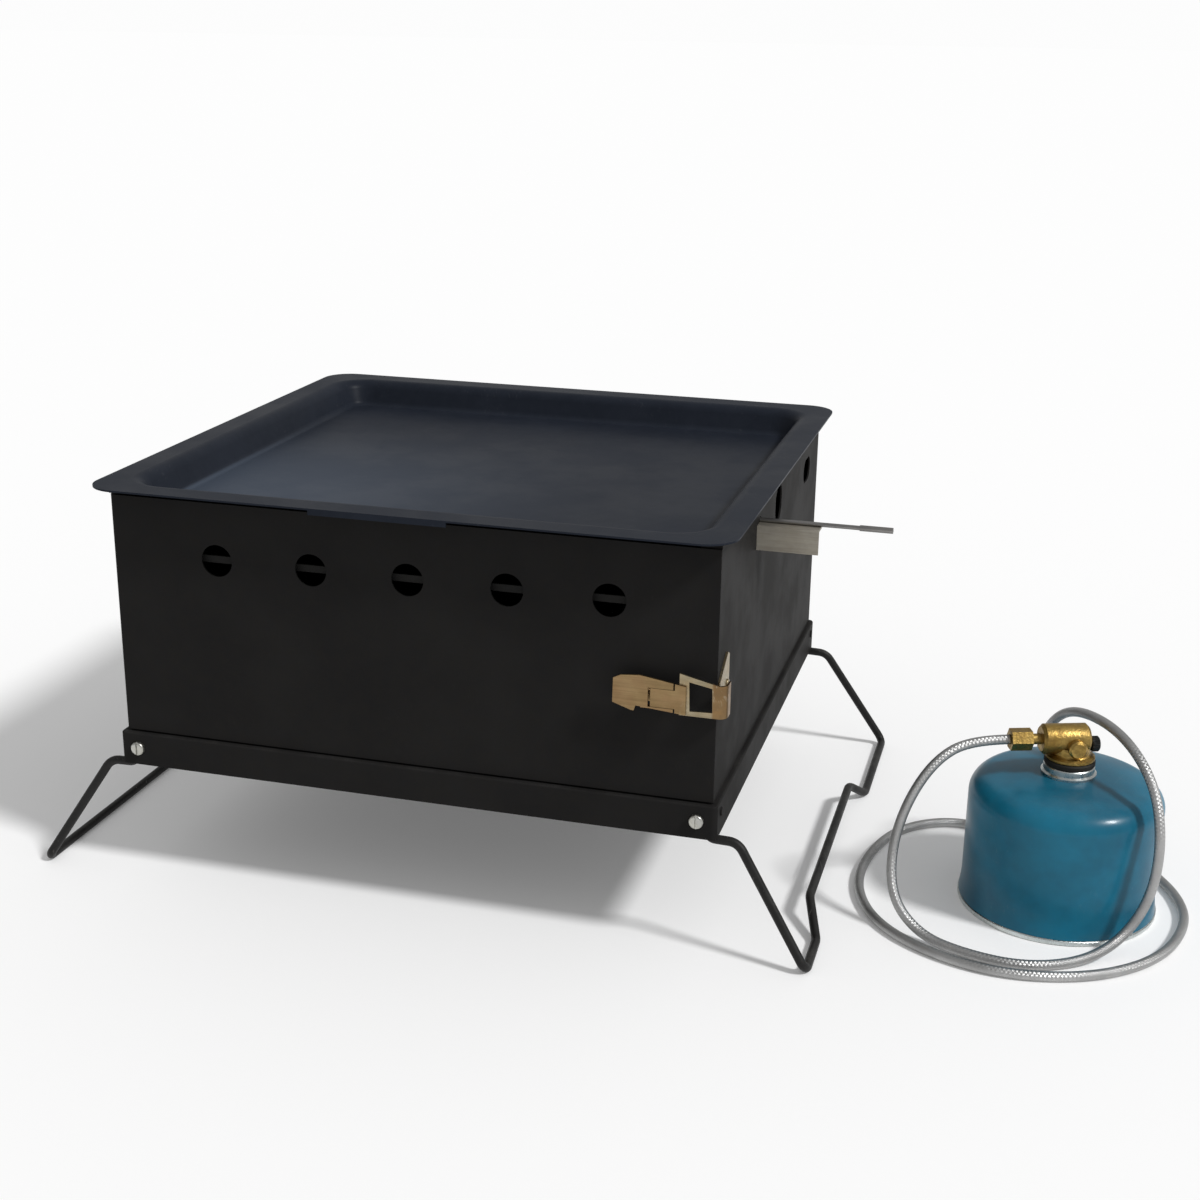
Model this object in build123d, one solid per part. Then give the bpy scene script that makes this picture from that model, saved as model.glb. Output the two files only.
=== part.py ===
from build123d import *
import os
from math import cos, hypot, pi, radians, sin, tan

os.makedirs("parts", exist_ok=True)

# Sizes are millimetres. The origin lies on the ground under the middle of the oven,
# +X to the right, +Y to the back and +Z up.

# Overall sizes of the oven
body_width = 340.0
body_depth = 308.0
wall_height = 144.0
skirt_height = 19.0
leg_height = 68.0
sheet = 1.0
skirt_reach = 2.8
skirt_corner_r = 3.0
skirt_edge_r = 1.2

half_x = body_width / 2
half_y = body_depth / 2
base_top = leg_height + skirt_height
wall_top = base_top + wall_height

# Clearances
flat_gap = 0.3
running_gap = 0.05
side_gap = 0.2

# Walls
foot_flange = 12.0
top_flange = 3.7
hem_height = 6.0
front_back_drop = 1.2
front_return = 10.0
corner_setback = 14.0
wall_rivet_r = 2.0
wall_rivet_head_r = 3.4
wall_rivet_head_h = 1.2
wall_rivets_per_side = 4
wall_rivet_end = 34.0
back_rivet_end = 90.0

# Gussets and rivets in the skirt's corners
skirt_rivet_r = 1.5
skirt_rivet_head_r = 2.4
skirt_rivet_head_h = 0.9
skirt_rivet_z = leg_height + 12.4
gusset_sheet = 1.0
gusset_width = 7.2
gusset_height = 10.0
skirt_rivet_y = [-half_y + 8.0, half_y - 8.0]

# Door, its vents and its hinge, a rolled edge on one long pin
door_bottom = base_top + 1.2
door_top = wall_top - 5.6
door_flange = 7.0
vent_r = 9.0
vent_pitch = 55.0
vent_count = 5
vent_x = 2.5
vent_z = wall_top - 37.7
barrel_r = 2.5
hinge_pin_r = 1.3
hinge_pin_head_h = 0.9
hinge_ear_gap = 0.8
hinge_ear = 1.2
hinge_ear_foot = 4.0
hinge_x = -half_x + barrel_r
hinge_y = -half_y + barrel_r
hinge_clear = barrel_r + 0.7

# Right wall's holes
hole_one_y = 8.0
hole_one_z = wall_top - 23.5
hole_one_size = (20.0, 23.0)
hole_two_y = half_y - 44.0
hole_two_z = wall_top - 28.0
hole_two_size = (24.0, 15.0)

# Tray that lies on the walls
tray_over_x = 8.5
tray_over_y = 15.0
tray_corner_r = 18.0
tray_tab_x = (-46.0, 30.0)
tray_tab_drop = 3.5
well_depth = 16.0
well_inset_x = 10.0
well_inset_y = 4.0
well_draft = 7.5
well_corner_r = 20.0
rim_bend_r = 8.0
floor_bend_r = 5.0
bend_margin = 6.0

# Wire legs
wire_r = 2.5
pivot_bolt_r = 2.0
pivot_inset = 8.0
eye_top_gap = 0.95
arm_inset = 3.0
neck_drop = 11.5
bend_reach = 13.5
bend_drop = 2.0
foot_reach = 54.0
foot_spread = 8.0
neck_bend_r = 5.0
outer_bend_r = 9.5
foot_bend_r = 5.0
kink_bend_r = 12.0
kink_front_y = (-half_y + 27.0, -half_y + 55.0)
kink_rear_y = (half_y - 99.0, half_y - 83.0)
kink_in = 8.6
kink_up = 11.0
bolt_head_r = 4.0
bolt_head_h = 2.4
pivot_nut_h = 3.2
pivot_nut_flat = 7.0
washer_r = 5.0

# Bars, rack and burner inside
tie_bar_height = 3.9
tie_bar_sheet = 1.2
tie_bar_setback = 4.0
tie_bar_step = 2.5
tie_bar_rise = -0.4
rail_z = base_top + 43.0
rail_width = 12.0
rail_sheet = 1.2
rail_end_inset = 26.0
rack_frame_r = 2.0
rack_wire_r = 1.5
rack_side_gap = 5.0
rack_end_gap = 18.0
rack_corner_r = 12.0
rack_wire_pitch = 29.0
rack_wire_count = 10
burner_r = 8.0
burner_wall = 1.0
burner_z = wall_top - 39.0
burner_run_y = 51.0
burner_end_x = half_x - 70.0
burner_turn_x = -half_x + 75.0
port_r = 0.8
port_pitch = 12.0
port_count = 15
shelf_sheet = 1.2
shelf_tab = 12.0
left_shelf_reach = 40.0
left_shelf_half = 30.0
right_shelf_margin = 12.0
mixing_wall = 0.9
mixing_length = 48.0
air_window = (10.0, 5.0)
mixing_overlap = 8.0
injector_nose_r = 3.0
injector_flat = 8.0
injector_length = 8.0
injector_x = burner_end_x - mixing_overlap + mixing_length
inlet_y = -burner_run_y

# Gas inlet at the right wall
pipe_r = 1.25
pipe_bore_r = 0.7
pipe_reach = 73.0
pipe_drop_inset = 7.5
pipe_bend_r = 6.0
pipe_z = wall_top - 17.5
pipe_sleeve_r = pipe_r + 0.4
pipe_sleeve_length = 18.0
wall_pipe_hole_r = pipe_r + 0.7
bracket_reach = 34.0
bracket_height = 14.0
bracket_sheet = 1.2
bracket_shelf = 11.0
bracket_tab = 12.0
bracket_rivet_r = 2.2
bracket_rivet_inset = 3.6
bracket_top = pipe_z - pipe_r
bracket_face_y = inlet_y - 8.0

# Toggle latch at the front right corner. Its outlines are X from the oven's right side and
# Z from the latch's own height.
latch_z = base_top + 59.5
latch_pivot_x = half_x - 22.0
latch_pivot_out = 4.6
latch_barrel_r = 2.0
latch_pin_r = 1.0
latch_plate = 1.2
latch_base_start = half_x - 48.7
latch_rivet_x = [half_x - 44.7, half_x - 36.7]
bail_back = 7.5
bail_out = 0.3
bail_depth = 2.5
cheek_inner = 5.2
cheek_sheet = 1.0
handle_top = [(-52.6, 8.6), (-48.5, 10.6), (-38.6, 11.5), (-14.4, 7.7)]
handle_bottom = [(-52.9, -4.7), (-43.5, -7.9), (-41.5, -8.2), (-40.6, -5.3), (-14.4, -7.7)]
lever_past_pivot = 1.1
lever_slot_back = 4.7
lever_cheek_foot = 4.0
tongue_back = 3.4
bail_seam = 0.8
ring_start = -18.0
ring_bend = 2.5
ring_reach = 6.7
ring_top = (14.2, 9.4)
ring_bottom = -8.3
ring_hole = [(-13.0, 10.1), (-1.0, 7.8), (-0.6, -5.3), (-12.5, -5.8)]
ring_return = 9.4
ring_bend_r = 4.5
catch_sheet = 1.2
catch_front_y = -half_y + 2.0
catch_depth = 22.0
catch_bottom = -4.5
catch_shoulder = 8.2
catch_tip = 18.5
catch_tip_back = 4.0
catch_corner = 2.0
catch_rivet_inset = 5.0
catch_rivet_rise = 1.5
small_rivet_r = 2.4
small_shank_r = 1.5
small_rivet_h = 1.0

# Gas cartridge, standing to the right of the oven
supply_gap = 122.0
can_r = 55.0
can_wall = 0.8
can_shoulder_z = 71.5
can_top_z = 79.0
can_seat_r = 16.0
can_mouth_r = 10.0
seam_height = 3.2
seam_width = 2.4
seam_proud = 0.4
flare_height = 12.0
flare_width = 1.1
can_x = half_x + supply_gap + can_r
can_y = -36.0

# Valve on the cartridge
cup_r = 14.0
cup_h = 5.5
cup_flange_r = 15.2
cup_flange_h = 1.3
cup_wall = 2.6
nozzle_r = 5.5
nozzle_h = 6.0
ring_h = 3.5
valve_flange_r = 13.5
valve_flange_h = 3.0
valve_boss_r = 10.5
valve_boss_h = 8.0
valve_barrel_r = 8.5
valve_barrel_x = (-17.7, 9.0)
front_boss_r = 5.2
front_boss_reach = 13.0
stem_r = 3.0
stem_length = 9.0
hose_nut_flat = 11.0
hose_nut_length = 11.7
hose_nut_x = -35.0
knob_r = 4.4
knob_h = 4.4
knob_stem_r = 1.5
knob_stem_depth = 6.0
knob_notches = 8
knob_notch_r = 1.0
valve_turn = 20.0

cup_z = can_top_z
ring_z = cup_z + cup_h
valve_z = ring_z + ring_h
valve_axis_z = valve_z + 11.4
knob_z = valve_z + 7.9

# Braided gas hose: its route from the nut, round the cartridge twice and to its end fitting,
# as distances from the cartridge's axis and heights above the ground
hose_r = 2.75
hose_points = [
    (-32.89, -11.97, 99.4),
    (-53.56, -19.5, 99.4),
    (-71.0, -29.0, 89.5),
    (-84.0, -41.0, 68.0),
    (-90.0, -51.5, 42.0),
    (-86.5, -62.0, 18.0),
    (-69.5, -72.0, 4.0),
    (-45.0, -83.0, 2.75),
    (-14.0, -88.0, 2.75),
    (15.0, -75.0, 2.75),
    (35.0, -55.0, 8.0),
    (48.5, -48.0, 31.5),
    (51.0, -42.5, 63.0),
    (44.5, -31.0, 91.5),
    (26.0, -4.0, 108.0),
    (1.0, 27.0, 107.5),
    (-13.0, 50.0, 88.5),
    (-17.0, 66.0, 60.0),
    (-19.0, 68.0, 34.0),
    (-27.0, 73.0, 13.0),
    (-46.0, 79.0, 2.75),
    (-71.0, 80.0, 2.75),
    (-97.0, 59.0, 2.75),
    (-110.0, 19.0, 2.75),
    (-111.0, -24.0, 2.75),
    (-95.0, -63.0, 2.75),
    (-62.0, -89.0, 2.75),
    (-21.0, -99.5, 2.75),
    (24.0, -88.0, 2.75),
    (57.0, -58.0, 2.75),
    (71.0, -16.0, 2.75),
    (68.0, 16.0, 2.75),
    (54.0, 45.0, 2.75),
    (36.0, 67.0, 3.9),
    (22.0, 92.0, 5.6),
    (17.0, 113.0, 5.6),
]
ferrule_r = 4.0
ferrule_length = 12.0
end_nut_flat = 11.0
end_nut_length = 9.0
socket_r = 3.8
socket_length = 15.0
socket_depth = 12.0
socket_bore_r = pipe_sleeve_r + running_gap


def block(x0, x1, y0, y1, z0, z1):
    middle = Pos((x0 + x1) / 2, (y0 + y1) / 2, (z0 + z1) / 2)
    return middle * Box(abs(x1 - x0), abs(y1 - y0), abs(z1 - z0))


def rod(start, end, radius):
    along = Vector(*end) - Vector(*start)
    seat = Plane(origin=start, z_dir=along)
    return seat * Cylinder(radius, along.length, align=(Align.CENTER, Align.CENTER, Align.MIN))


def hex_rod(start, end, flats):
    along = Vector(*end) - Vector(*start)
    seat = Plane(origin=start, x_dir=(-along.Y, along.X, 0), z_dir=along)
    outline = RegularPolygon(flats / 2, 6, major_radius=False)
    return extrude(seat * outline, along.length)


def domed_head(start, direction, radius, height):
    way = Vector(*direction).normalized()
    head = rod(start, tuple(Vector(*start) + way * height), radius)
    tip = Vector(*start) + way * height
    rim = head.edges().filter_by(GeomType.CIRCLE).sort_by_distance(tip)[0]
    return fillet(rim, min(height, radius) * 0.6)


def rivet(start, end, shank_r, head_r, head_h):
    way = (Vector(*end) - Vector(*start)).normalized()
    piece = rod(start, end, shank_r)
    piece += domed_head(end, way, head_r, head_h)
    piece += domed_head(start, way * -1, head_r, head_h)
    return piece


def wire_along(points, bends, radius):
    path = FilletPolyline(*points, radius=bends)
    start = Plane(origin=path @ 0, z_dir=path % 0)
    return sweep(start * Circle(radius), path=path)


def save(name, *solids):
    shape = solids[0] if len(solids) == 1 else Compound(children=list(solids))
    export_step(shape, os.path.join("parts", name + ".step"))


# Base pan: a sheet turned down into a skirt all round
def base_pan():
    outer_x = half_x + skirt_reach
    outer_y = half_y + skirt_reach
    shell = block(-outer_x, outer_x, -outer_y, outer_y, leg_height, base_top)
    shell = fillet(shell.edges().filter_by(Axis.Z), skirt_corner_r)
    shell = fillet(shell.faces().sort_by(Axis.Z)[-1].edges(), skirt_edge_r)
    inner_x = outer_x - sheet
    inner_y = outer_y - sheet
    inside = block(-inner_x, inner_x, -inner_y, inner_y, leg_height - 1, base_top - sheet)
    inside = fillet(inside.edges().filter_by(Axis.Z), skirt_corner_r - sheet)
    pan = shell - inside
    for side in (-1, 1):
        for end in (-1, 1):
            x = side * pivot_x
            pan -= rod((x, end * (inner_y - 1), pivot_z), (x, end * (outer_y + 1), pivot_z),
                       pivot_bolt_r + running_gap)
            y = end * arm_y
            pan -= rod((side * (inner_x - 1), y, run_z), (side * (outer_x + 1), y, run_z),
                       wire_r + flat_gap)
    for x, y in wall_rivet_places():
        pan -= rod((x, y, base_top - sheet - 1), (x, y, base_top + 1), wall_rivet_r)
    pan -= rod((hinge_x, hinge_y, base_top - sheet - 1), (hinge_x, hinge_y, base_top + 1),
               hinge_pin_r)
    for side in (-1, 1):
        for y in skirt_rivet_y:
            pan -= rod((side * (inner_x - 1), y, skirt_rivet_z),
                       (side * (outer_x + 1), y, skirt_rivet_z), skirt_rivet_r)
    return pan


def wall_rivet_places():
    x = half_x - sheet - foot_flange / 2
    y = half_y - sheet - foot_flange / 2
    first = -half_y + wall_rivet_end
    pitch = -2 * first / (wall_rivets_per_side - 1)
    sides = [(side * x, first + k * pitch) for side in (-1, 1) for k in range(wall_rivets_per_side)]
    edge = half_x - back_rivet_end
    return sides + [(-edge, y), (0, y), (edge, y)]


def wall_rivets():
    low = base_top - sheet
    high = base_top + sheet
    return [rivet((x, y, low), (x, y, high), wall_rivet_r, wall_rivet_head_r, wall_rivet_head_h)
            for x, y in wall_rivet_places()]


# Corner gussets inside the skirt, where its folded corners are joined
def skirt_rivets():
    outer_x = half_x + skirt_reach
    inner_x = outer_x - sheet - gusset_sheet
    return [rivet((side * inner_x, y, skirt_rivet_z), (side * outer_x, y, skirt_rivet_z),
                  skirt_rivet_r, skirt_rivet_head_r, skirt_rivet_head_h)
            for side in (-1, 1) for y in skirt_rivet_y]


def skirt_gussets():
    outer = half_x + skirt_reach - sheet
    low = skirt_rivet_z - gusset_height / 2
    pieces = []
    for side in (-1, 1):
        for y in skirt_rivet_y:
            plate = block(side * (outer - gusset_sheet), side * outer,
                          y - gusset_width / 2, y + gusset_width / 2,
                          low, low + gusset_height)
            hole = rod((side * (outer - 3), y, skirt_rivet_z), (side * (outer + 1), y, skirt_rivet_z),
                       skirt_rivet_r)
            pieces.append(plate - hole)
    return pieces


# Walls
def side_wall(side, front_y):
    outer = side * half_x
    inner = side * (half_x - sheet)
    wall = block(inner, outer, front_y, half_y, base_top, wall_top)
    front = -half_y + corner_setback
    back = half_y - 2 * sheet - 0.5
    wall += block(side * (half_x - sheet - top_flange), outer, front, back,
                  wall_top - sheet, wall_top)
    wall += block(side * (half_x - sheet - foot_flange), outer, front, half_y - sheet,
                  base_top, base_top + sheet)
    return wall - [rod((x, y, base_top - 1), (x, y, base_top + sheet + 1), wall_rivet_r)
                   for x, y in wall_rivet_places() if x * side > 0]


def side_wall_left():
    wall_front = hinge_y + hinge_clear
    wall = side_wall(-1, wall_front)
    low = door_top + hinge_ear_gap
    wall += block(-half_x, hinge_x + barrel_r, hinge_y - barrel_r, wall_front + hinge_ear_foot,
                  low, low + hinge_ear)
    return wall - rod((hinge_x, hinge_y, low - 1), (hinge_x, hinge_y, low + hinge_ear + 1), hinge_pin_r)


def slot_cut(y, z, size):
    width, height = size
    outline = Plane.YZ * Pos(y, z) * RectangleRounded(width, height, min(size) / 2 - 0.5)
    return Pos(half_x - sheet - 2, 0, 0) * extrude(outline, sheet + 4)


def side_wall_right():
    front_y = -half_y + sheet + flat_gap
    wall = side_wall(1, front_y)
    inner = half_x - sheet
    wall += block(inner - front_return, inner, front_y, front_y + sheet,
                  base_top + 2 * sheet, wall_top - front_back_drop)
    wall -= slot_cut(hole_one_y, hole_one_z, hole_one_size)
    wall -= slot_cut(hole_two_y, hole_two_z, hole_two_size)
    wall -= rod((inner - 1, inlet_y, pipe_z), (half_x + 1, inlet_y, pipe_z), wall_pipe_hole_r)
    for y, z in catch_rivet_places():
        wall -= rod((inner - 1, y, z), (half_x + 1, y, z), small_shank_r)
    for y, z in bracket_rivet_places():
        wall -= rod((inner - 1, y, z), (half_x + 1, y, z), small_shank_r)
    return wall


def back_wall():
    edge = half_x - sheet
    face = half_y - sheet
    top = wall_top - front_back_drop
    wall = block(-edge, edge, face, half_y, base_top, top)
    wall += block(-edge + 4, edge - 4, face - sheet, face, top - hem_height, top)
    foot = edge - foot_flange - 2
    wall += block(-foot, foot, face - foot_flange, face, base_top, base_top + sheet)
    for side in (-1, 1):
        wall += block(side * (edge - sheet), side * edge, face - foot_flange, face,
                      base_top + sheet, wall_top - sheet)
    return wall - [rod((x, y, base_top - 1), (x, y, base_top + sheet + 1), wall_rivet_r)
                   for x, y in wall_rivet_places() if abs(x) < foot]


# Door
def door_panel():
    face = -half_y
    back = face + sheet
    left = hinge_x + hinge_clear
    panel = block(hinge_x, half_x, face, back, door_bottom, door_top)
    panel += rod((hinge_x, hinge_y, door_bottom), (hinge_x, hinge_y, door_top), barrel_r)
    fold_right = half_x - sheet - front_return - 2
    panel += block(left + 4, fold_right, back, back + door_flange, door_bottom, door_bottom + sheet)
    panel += block(left + 4, fold_right, back, back + sheet, door_top - hem_height, door_top)
    for index in range(vent_count):
        x = vent_x + (index - (vent_count - 1) / 2) * vent_pitch
        panel -= rod((x, face - 1, vent_z), (x, back + 1, vent_z), vent_r)
    for x in latch_rivet_x:
        panel -= rod((x, face - 1, latch_z), (x, back + 1, latch_z), small_shank_r)
    return panel - rod((hinge_x, hinge_y, door_bottom - 1), (hinge_x, hinge_y, door_top + 1),
                       hinge_pin_r + running_gap)


def door_hinge_pin():
    foot = (hinge_x, hinge_y, base_top - sheet)
    top = (hinge_x, hinge_y, door_top + hinge_ear_gap + hinge_ear)
    return rod(foot, top, hinge_pin_r) + domed_head(top, (0, 0, 1), barrel_r - 0.4, hinge_pin_head_h)


# Wire legs and their pivots
pivot_x = half_x - pivot_inset
arm_y = half_y - arm_inset
eye_r = pivot_bolt_r + running_gap + wire_r
pivot_z = base_top - sheet - eye_top_gap - wire_r - eye_r
eye_turn = 250.0
neck_x = pivot_x + eye_r
run_z = pivot_z - neck_drop
bend_x = half_x + bend_reach
bend_z = leg_height - bend_drop
foot_x = half_x + foot_reach
foot_y = half_y + foot_spread
skirt_face = half_y + skirt_reach


def eye_point(side, end, turn):
    angle = radians(turn)
    return (side * (pivot_x + eye_r * cos(angle)), end * arm_y, pivot_z + eye_r * sin(angle))


def leg(side, kinked):
    front = [
        (side * neck_x, -arm_y, pivot_z),
        (side * neck_x, -arm_y, run_z),
        (side * bend_x, -arm_y, bend_z),
        (side * foot_x, -foot_y, wire_r),
    ]
    middle = []
    if kinked:
        raised_x = side * (foot_x - kink_in)
        raised_z = wire_r + kink_up
        middle = [
            (side * foot_x, kink_front_y[0], wire_r),
            (raised_x, kink_front_y[1], raised_z),
            (raised_x, kink_rear_y[0], raised_z),
            (side * foot_x, kink_rear_y[1], wire_r),
        ]
    rear = [(x, -y, z) for x, y, z in reversed(front)]
    ends = [neck_bend_r, outer_bend_r, foot_bend_r]
    bends = ends + [kink_bend_r] * len(middle) + ends[::-1]
    first = ThreePointArc(*[eye_point(side, -1, turn) for turn in (eye_turn, eye_turn / 2, 0)])
    last = ThreePointArc(*[eye_point(side, 1, turn) for turn in (0, eye_turn / 2, eye_turn)])
    body = FilletPolyline(*front, *middle, *rear, radius=bends)
    path = Wire([first, *body.edges(), last])
    start = Plane(origin=path @ 0, z_dir=path % 0)
    return sweep(start * Circle(wire_r), path=path)


def pivot_places():
    return [(side * pivot_x, end) for side in (-1, 1) for end in (-1, 1)]


def leg_pivot_bolts():
    tip = arm_y - wire_r - pivot_nut_h - 1.0
    bolts = []
    for x, end in pivot_places():
        shank = rod((x, end * tip, pivot_z), (x, end * skirt_face, pivot_z), pivot_bolt_r)
        head = domed_head((x, end * skirt_face, pivot_z), (0, end, 0), bolt_head_r, bolt_head_h)
        outer = end * (skirt_face + bolt_head_h)
        slot = block(x - 0.5, x + 0.5, outer - end * 0.9, outer + end, pivot_z - 6, pivot_z + 6)
        bolts.append(shank + (head - slot))
    return bolts


def leg_pivot_nuts():
    nuts = []
    for x, end in pivot_places():
        near = end * (arm_y - wire_r - side_gap)
        far = end * (arm_y - wire_r - side_gap - pivot_nut_h)
        nut = hex_rod((x, near, pivot_z), (x, far, pivot_z), pivot_nut_flat)
        nuts.append(nut - rod((x, near, pivot_z), (x, far, pivot_z), pivot_bolt_r))
    return nuts


def leg_pivot_washers():
    washers = []
    for x, end in pivot_places():
        near = end * (skirt_face - sheet)
        far = end * (arm_y + wire_r + side_gap)
        ring = rod((x, far, pivot_z), (x, near, pivot_z), washer_r)
        washers.append(ring - rod((x, far, pivot_z), (x, near, pivot_z), pivot_bolt_r))
    return washers


# Baking tray: a flat rim, a bend round into the sloping wall of the well, and its floor
def well_outline(reach):
    return RectangleRounded(2 * (half_x - well_inset_x + reach), 2 * (half_y - well_inset_y + reach),
                            well_corner_r + reach)


def tray_section(rim_z, floor_z):
    lean = sheet * (hypot(well_draft, well_depth) - well_draft) / well_depth
    inside = -well_draft - bend_margin
    upper = FilletPolyline((bend_margin, rim_z), (0, rim_z), (-well_draft, floor_z), (inside, floor_z),
                           radius=[rim_bend_r, floor_bend_r])
    lower = FilletPolyline((bend_margin, rim_z - sheet), (lean, rim_z - sheet),
                           (lean - well_draft, floor_z - sheet), (inside, floor_z - sheet),
                           radius=[rim_bend_r - sheet, floor_bend_r + sheet])
    outer_end = Line((bend_margin, rim_z - sheet), (bend_margin, rim_z))
    inner_end = Line((inside, floor_z), (inside, floor_z - sheet))
    return make_face([*upper.edges(), inner_end, *lower.edges(), outer_end])


def baking_tray():
    rim_z = wall_top + sheet
    floor_z = rim_z - well_depth
    x = half_x + tray_over_x
    y = half_y + tray_over_y
    rim = RectangleRounded(2 * x, 2 * y, tray_corner_r) - well_outline(bend_margin)
    tray = Pos(0, 0, wall_top) * extrude(rim, sheet)
    path = well_outline(0).wire()
    outward = (path % 0).cross(Vector(0, 0, 1))
    if outward.dot(path @ 0) < 0:
        outward = outward * -1
    start = Plane(origin=path @ 0, x_dir=outward, z_dir=outward.cross(Vector(0, 0, 1)))
    tray += sweep(start * tray_section(rim_z, floor_z), path=path)
    tray += Pos(0, 0, floor_z - sheet) * extrude(well_outline(-well_draft - bend_margin), sheet)
    return tray + block(tray_tab_x[0], tray_tab_x[1], -y, -y + sheet, rim_z - tray_tab_drop, rim_z)


# Bars, rails and rack in the chamber. The tie bar's left end steps back past the door's hinge.
def front_tie_bar():
    end = half_x - sheet
    left = hinge_x + hinge_clear
    y = -half_y + tie_bar_setback
    back = y + tie_bar_step
    low = vent_z + tie_bar_rise - tie_bar_height / 2
    high = low + tie_bar_height
    bar = block(left, end, y, y + tie_bar_sheet, low, high)
    bar += block(left, left + tie_bar_sheet, y, back + tie_bar_sheet, low, high)
    return bar + block(-end, left + tie_bar_sheet, back, back + tie_bar_sheet, low, high)


def rack_rail(side):
    wall = side * (half_x - sheet)
    reach = side * (half_x - sheet - rail_width)
    y = half_y - rail_end_inset
    rail = block(reach, wall, -y, y, rail_z - rail_sheet, rail_z)
    rail += block(wall - side * rail_sheet, wall, -y, y, rail_z - rail_width, rail_z)
    return rail


def oven_rack():
    x = half_x - sheet - rail_sheet - rack_side_gap
    y = half_y - rack_end_gap
    z = rail_z + rack_frame_r
    outline = RectangleRounded(2 * x, 2 * y, rack_corner_r)
    path = outline.wire().moved(Location((0, 0, z)))
    start = Plane(origin=path @ 0, z_dir=path % 0)
    rack = sweep(start * Circle(rack_frame_r), path=path)
    middle = (rack_wire_count - 1) / 2
    for index in range(rack_wire_count):
        across = (index - middle) * rack_wire_pitch
        rack += rod((across, -y, z), (across, y, z), rack_wire_r)
    return rack


# Burner
def burner_path():
    front = Line((burner_end_x, -burner_run_y), (burner_turn_x, -burner_run_y))
    turn = ThreePointArc((burner_turn_x, -burner_run_y), (burner_turn_x - burner_run_y, 0),
                         (burner_turn_x, burner_run_y))
    back = Line((burner_turn_x, burner_run_y), (burner_end_x, burner_run_y))
    return Pos(0, 0, burner_z) * Wire([front, turn, back])


def burner_tube():
    path = burner_path()
    start = Plane(origin=path @ 0, z_dir=path % 0)
    tube = sweep(start * (Circle(burner_r) - Circle(burner_r - burner_wall)), path=path)
    end = (burner_end_x, burner_run_y, burner_z)
    tube += rod((burner_end_x - 2, burner_run_y, burner_z), end, burner_r - burner_wall / 2)
    middle = (port_count - 1) / 2
    ports = []
    for run in (-1, 1):
        for index in range(port_count):
            x = (index - middle) * port_pitch
            y = run * burner_run_y
            ports.append(rod((x, y, burner_z + 2), (x, y, burner_z + burner_r + 1), port_r))
    return tube - ports


def mixing_tube():
    inner_x = burner_end_x - mixing_overlap
    outer_x = inner_x + mixing_length
    radius = burner_r - burner_wall - 0.1
    y = -burner_run_y
    tube = rod((inner_x, y, burner_z), (outer_x, y, burner_z), radius)
    tube -= rod((inner_x - 1, y, burner_z), (outer_x - 1.2, y, burner_z), radius - mixing_wall)
    tube -= rod((outer_x - 2, y, burner_z), (outer_x + 1, y, burner_z), injector_nose_r)
    length, height = air_window
    for side in (-1, 1):
        edge = y + side * (radius + 1)
        tube -= block(outer_x - 4 - length, outer_x - 4, y, edge,
                      burner_z - height / 2, burner_z + height / 2)
    return tube


def gas_injector():
    start = (injector_x + 0.2, inlet_y, burner_z)
    end = (injector_x + injector_length, inlet_y, burner_z)
    nut = hex_rod(start, end, injector_flat)
    nut += rod((injector_x - 4, inlet_y, burner_z), start, injector_nose_r)
    return nut - rod((injector_x - 5, inlet_y, burner_z), (end[0] + 1, inlet_y, burner_z), 0.4)


def burner_shelf(side, inner_x, half_width):
    wall = side * (half_x - sheet)
    top = burner_z - burner_r
    shelf = block(inner_x, wall, -half_width, half_width, top - shelf_sheet, top)
    shelf += block(wall - side * shelf_sheet, wall, -half_width, half_width, top - shelf_tab, top)
    return shelf


# Gas inlet
def inlet_pipe():
    drop_x = half_x - pipe_drop_inset
    points = [
        (half_x + pipe_reach, inlet_y, pipe_z),
        (drop_x, inlet_y, pipe_z),
        (drop_x, inlet_y, burner_z),
        (injector_x + injector_length, inlet_y, burner_z),
    ]
    bends = [pipe_bend_r, pipe_bend_r]
    return wire_along(points, bends, pipe_r) - wire_along(points, bends, pipe_bore_r)


def inlet_pipe_end():
    end = half_x + pipe_reach
    start = end - pipe_sleeve_length
    sleeve = rod((start, inlet_y, pipe_z), (end, inlet_y, pipe_z), pipe_sleeve_r)
    return sleeve - rod((start, inlet_y, pipe_z), (end, inlet_y, pipe_z), pipe_r)


def bracket_rivet_places():
    y = bracket_face_y + bracket_tab / 2 + bracket_sheet
    return [(y, bracket_top - bracket_sheet - bracket_rivet_inset),
            (y, bracket_top - bracket_height + bracket_rivet_inset)]


def inlet_bracket():
    low = bracket_top - bracket_height
    right = half_x + bracket_reach
    face = bracket_face_y
    plate = block(half_x, right, face, face + bracket_sheet, low, bracket_top)
    plate += block(half_x, right, face, face + bracket_shelf, bracket_top - bracket_sheet, bracket_top)
    plate += block(half_x, half_x + bracket_sheet, face, face + bracket_tab,
                   low, bracket_top - bracket_sheet)
    for y, z in bracket_rivet_places():
        plate -= rod((half_x - 1, y, z), (half_x + bracket_sheet + 1, y, z), small_shank_r)
    return plate


def bracket_rivets():
    return [rivet((half_x - sheet, y, z), (half_x + bracket_sheet, y, z), small_shank_r,
                  bracket_rivet_r, small_rivet_h)
            for y, z in bracket_rivet_places()]


# Toggle latch: a base on the door, a handle, and a loop whose front layer fills the handle's slot
latch_front = -half_y
latch_pivot_y = latch_front - latch_pivot_out
bail_pivot_x = latch_pivot_x - bail_back
bail_pivot_y = latch_pivot_y - bail_out
face_y = bail_pivot_y - bail_depth
lever_right = latch_pivot_x + lever_past_pivot


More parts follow.
